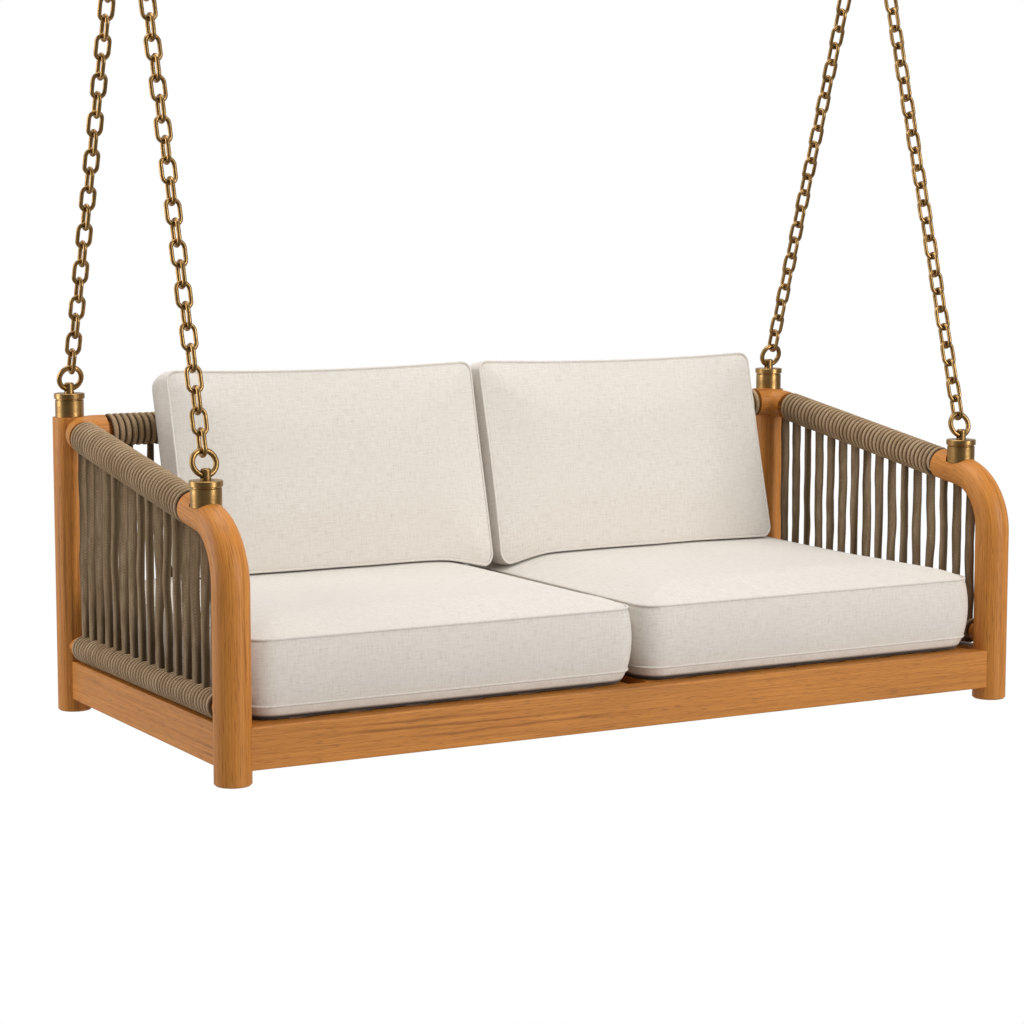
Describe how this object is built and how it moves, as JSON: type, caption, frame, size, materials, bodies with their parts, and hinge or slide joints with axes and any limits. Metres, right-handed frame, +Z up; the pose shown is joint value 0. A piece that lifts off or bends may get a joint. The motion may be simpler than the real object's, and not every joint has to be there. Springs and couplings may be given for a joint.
{
  "type": "porch swing",
  "caption": "Two-seat hanging porch swing: round-post timber frame, cord-wound arms and back, loose linen cushions, brass chains and ceiling plates.",
  "frame": {"origin": "middle of the four ceiling bolt holes, on the ceiling face of the two plates", "axes": "+X to the sitter's left as they sit, across the seat; +Y towards the backrest; +Z up"},
  "size_m": [1.706, 0.846, 1.7717],
  "materials": {
    "teak": "satin oiled honey-brown hardwood",
    "cord": "matt taupe woven cord",
    "linen": "matt oatmeal slub weave",
    "brass": "brushed antique brass",
    "screw_steel": "plain zinc-plated steel"
  },
  "bodies": {
    "hangers": {"left_ceiling_plate": "brass", "left_pivot_pin": "brass", "pin_nuts": "brass", "right_ceiling_plate": "brass", "right_pivot_pin": "brass"},
    "swing": {"arm_dowels": "teak", "centre_bearer": "teak", "cleat_screws": "screw_steel", "eye_studs": "brass", "front_cleats": "teak", "front_rail": "teak", "left_arm_bow": "teak", "left_arm_winding": "cord", "left_front_cap": "brass", "left_front_chain": "brass", "left_front_drop_ring": "brass", "left_hanger_eye": "brass", "left_lower_bar": "teak", "left_lower_winding": "cord", "left_rear_cap": "brass", "left_rear_chain": "brass", "left_rear_drop_ring": "brass", "left_rear_post": "teak", "left_side_rail": "teak", "left_strands": "cord", "left_top_ring": "brass", "rear_cleats": "teak", "rear_lower_bar": "teak", "rear_lower_winding": "cord", "rear_rail": "teak", "rear_rail_winding": "cord", "rear_strands": "cord", "rear_top_rail": "teak", "right_arm_bow": "teak", "right_arm_winding": "cord", "right_front_cap": "brass", "right_front_chain": "brass", "right_front_drop_ring": "brass", "right_hanger_eye": "brass", "right_lower_bar": "teak", "right_lower_winding": "cord", "right_rear_cap": "brass", "right_rear_chain": "brass", "right_rear_drop_ring": "brass", "right_rear_post": "teak", "right_side_rail": "teak", "right_strands": "cord", "right_top_ring": "brass", "seat_slats": "teak", "slat_screws": "screw_steel"},
    "left_back_cushion": {"left_back_cushion": "linen"},
    "left_seat_cushion": {"left_seat_cushion": "linen"},
    "right_back_cushion": {"right_back_cushion": "linen"},
    "right_seat_cushion": {"right_seat_cushion": "linen"}
  },
  "joints": [
    {"name": "swing", "type": "hinge", "parent": "hangers", "child": "swing", "pos_m": [0, 0, -0.034], "axis": [1, 0, 0], "range_deg": [-25, 25]},
    {"name": "left_seat_slide", "type": "slide", "parent": "swing", "child": "left_seat_cushion", "axis": [0, -1, 0], "range_m": [0, 0.8]},
    {"name": "right_seat_slide", "type": "slide", "parent": "swing", "child": "right_seat_cushion", "axis": [0, -1, 0], "range_m": [0, 0.8]},
    {"name": "left_back_lift", "type": "slide", "parent": "swing", "child": "left_back_cushion", "axis": [0, 0, 1], "range_m": [0, 0.5]},
    {"name": "right_back_lift", "type": "slide", "parent": "swing", "child": "right_back_cushion", "axis": [0, 0, 1], "range_m": [0, 0.5]}
  ]
}
